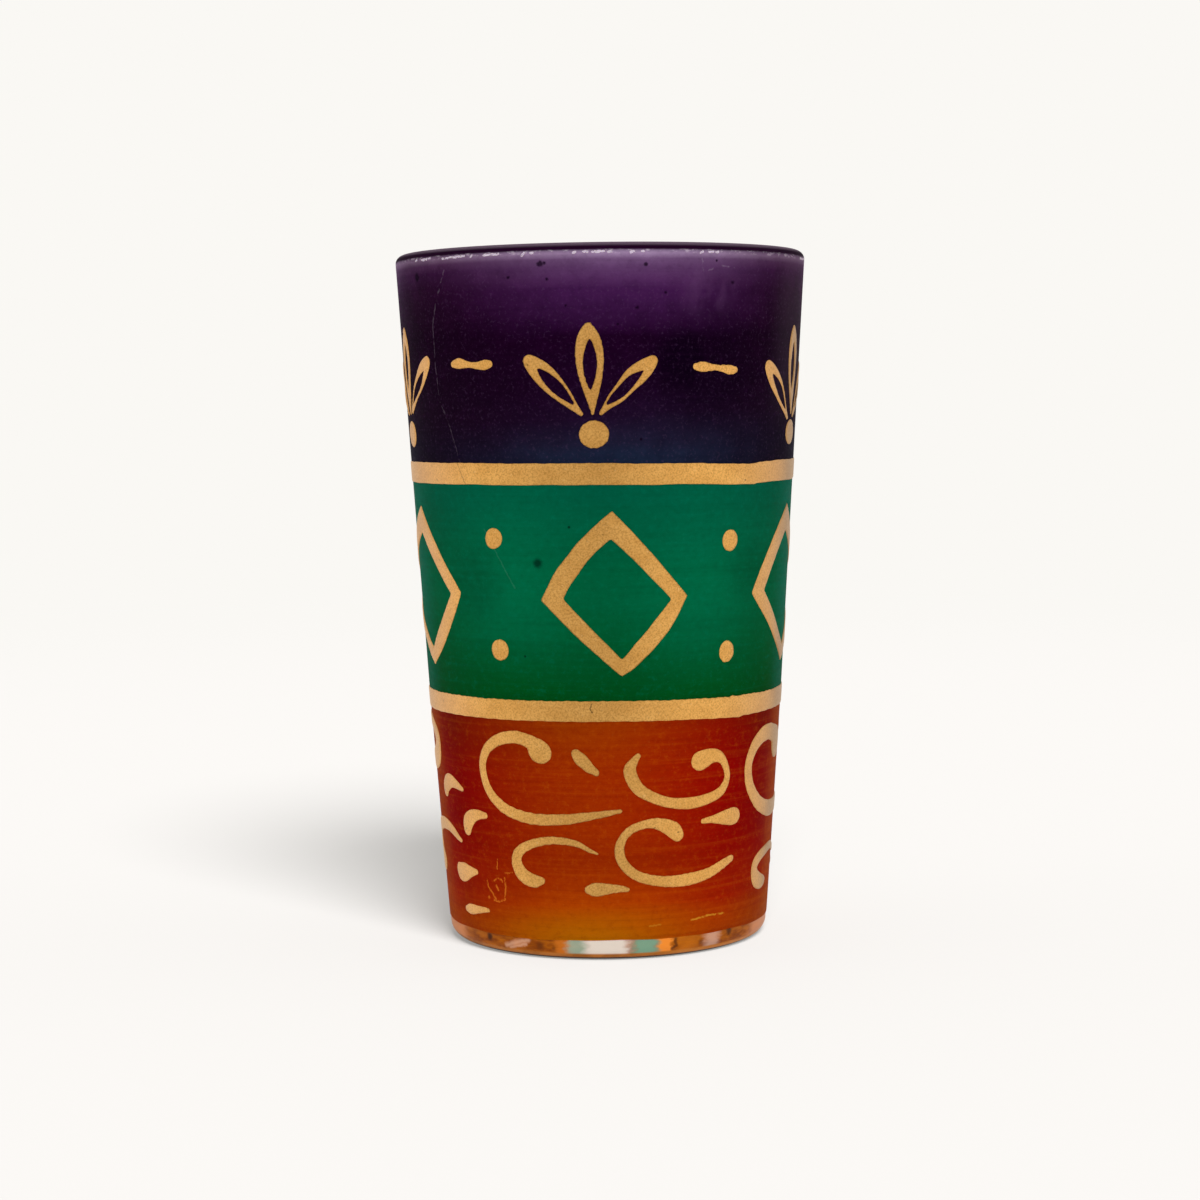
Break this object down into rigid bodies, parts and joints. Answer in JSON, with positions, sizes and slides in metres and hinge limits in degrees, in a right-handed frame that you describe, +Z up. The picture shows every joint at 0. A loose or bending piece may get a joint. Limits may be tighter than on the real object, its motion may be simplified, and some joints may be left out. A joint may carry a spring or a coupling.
{
  "type": "tea glass",
  "caption": "Tapered straight-sided tea glass of clear glass, with purple, green and amber lacquer coats outside and hand-painted gold bands, palmettes, diamonds and scrolls.",
  "frame": {"origin": "centre of the standing ring, on the plane the glass stands on", "axes": "+Z up along the glass's axis, -Y towards the side that the picture shows, +X to its right"},
  "size_m": [0.0538, 0.0538, 0.0901],
  "materials": {
    "clear_glass": "clear pressed glass, smooth",
    "purple_lacquer": "satin translucent lacquer, deep purple",
    "green_lacquer": "satin translucent lacquer, emerald green, brushed",
    "amber_lacquer": "satin translucent lacquer, reddish amber, brushed",
    "gold_paint": "matte gold paint, finely speckled"
  },
  "bodies": {
    "root": {"glass_body": "clear_glass", "purple_coat": "purple_lacquer", "green_coat": "green_lacquer", "amber_coat": "amber_lacquer", "upper_gold_band": "gold_paint", "lower_gold_band": "gold_paint", "palmette_seeds": "gold_paint", "palmette_centre_petals": "gold_paint", "palmette_left_petals": "gold_paint", "palmette_right_petals": "gold_paint", "gold_dashes": "gold_paint", "diamond_frames": "gold_paint", "upper_gold_dots": "gold_paint", "lower_gold_dots": "gold_paint", "large_c_scrolls": "gold_paint", "hook_scrolls": "gold_paint", "curl_scroll": "gold_paint", "u_scrolls": "gold_paint", "small_c_scrolls": "gold_paint", "slanted_teardrops": "gold_paint", "side_teardrops": "gold_paint", "lower_teardrops": "gold_paint", "upper_crescent": "gold_paint", "lower_crescent": "gold_paint", "column_teardrop": "gold_paint", "base_teardrop": "gold_paint"}
  },
  "joints": []
}
